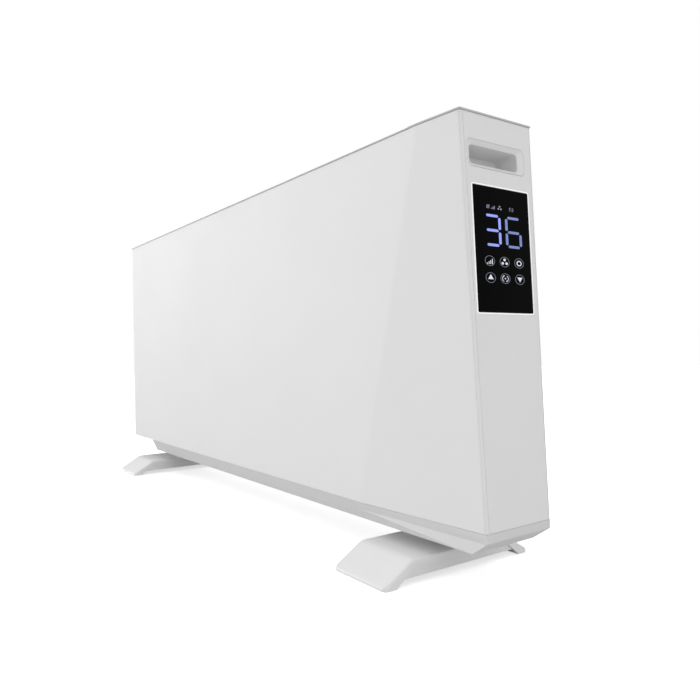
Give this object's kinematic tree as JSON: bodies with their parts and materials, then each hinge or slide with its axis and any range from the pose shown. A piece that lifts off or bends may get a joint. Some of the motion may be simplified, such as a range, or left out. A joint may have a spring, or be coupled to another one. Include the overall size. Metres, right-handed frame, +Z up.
{
  "type": "fan convector heater",
  "caption": "Slim floor-standing convector heater with a folded front, a slotted top, a touch display and carry grips in its ends, and wide moulded feet.",
  "frame": {"origin": "on the floor, under the middle of the casing length and depth", "axes": "+X towards the display end, -Y the front, +Z up"},
  "size_m": [0.938, 0.1966, 0.4342],
  "materials": {
    "white_steel": "satin white powder coat",
    "white_plastic": "fine-grained white moulding",
    "top_grey": "satin grey powder coat",
    "skirt_grey": "fine-grained light grey moulding",
    "black_glass": "black back-printed glass, polished",
    "black_plastic": "fine-grained black moulding",
    "circuit_board": "green solder resist",
    "black_rubber": "matt black rubber",
    "zinc_steel": "bright zinc plate",
    "aluminium": "as-extruded aluminium",
    "ceramic": "unglazed off-white ceramic"
  },
  "bodies": {
    "casing": {"front_panel": "white_steel", "rear_panel": "white_steel", "left_end_cap": "white_plastic", "right_end_cap": "white_plastic", "grip_cup_left": "white_plastic", "grip_cup_right": "white_plastic", "foot_left": "white_plastic", "foot_right": "white_plastic", "display_frame": "white_plastic", "terminal_block": "white_plastic", "top_grille": "top_grey", "top_end_cover": "top_grey", "base_skirt": "skirt_grey", "display_glass": "black_glass", "digit_module": "black_plastic", "thermal_cutout": "black_plastic", "fan_shroud": "black_plastic", "switch_housing": "black_plastic", "relay_1": "black_plastic", "relay_2": "black_plastic", "room_sensor": "black_plastic", "tilt_switch_body": "black_plastic", "loom_elements": "black_plastic", "loom_display": "black_plastic", "display_board": "circuit_board", "power_board": "circuit_board", "cable_gland": "black_rubber", "foot_pad_left_front": "black_rubber", "foot_pad_left_rear": "black_rubber", "foot_pad_right_front": "black_rubber", "foot_pad_right_rear": "black_rubber", "floor_pan": "zinc_steel", "element_bracket_left": "zinc_steel", "element_bracket_right": "zinc_steel", "heat_shield_front": "zinc_steel", "heat_shield_rear": "zinc_steel", "partition_wall": "zinc_steel", "fan_motor": "zinc_steel", "tilt_pin": "zinc_steel", "case_screw_1": "zinc_steel", "case_screw_2": "zinc_steel", "case_screw_3": "zinc_steel", "case_screw_4": "zinc_steel", "case_screw_5": "zinc_steel", "case_screw_6": "zinc_steel", "foot_screw_1": "zinc_steel", "foot_screw_2": "zinc_steel", "foot_screw_3": "zinc_steel", "foot_screw_4": "zinc_steel", "heating_element_front": "aluminium", "heating_element_rear": "aluminium", "insulator_left_front": "ceramic", "insulator_left_rear": "ceramic", "insulator_right_front": "ceramic", "insulator_right_rear": "ceramic"},
    "fan_rotor": {"impeller": "black_plastic", "motor_shaft": "zinc_steel"},
    "rocker_switch": {"rocker": "black_plastic"},
    "tip_over_pendulum": {"tilt_pendulum": "zinc_steel"}
  },
  "joints": [
    {"name": "fan_spin", "type": "hinge", "parent": "casing", "child": "fan_rotor", "pos_m": [-0.125, 0.03275, 0.108], "axis": [0, 1, 0], "continuous": true},
    {"name": "rocker_tip", "type": "hinge", "parent": "casing", "child": "rocker_switch", "pos_m": [0.39, 0.04675, 0.13], "axis": [1, 0, 0], "range_deg": [0, 16]},
    {"name": "pendulum_swing", "type": "hinge", "parent": "casing", "child": "tip_over_pendulum", "pos_m": [0.32, 0, 0.0948], "axis": [1, 0, 0], "range_deg": [-30, 30]}
  ]
}
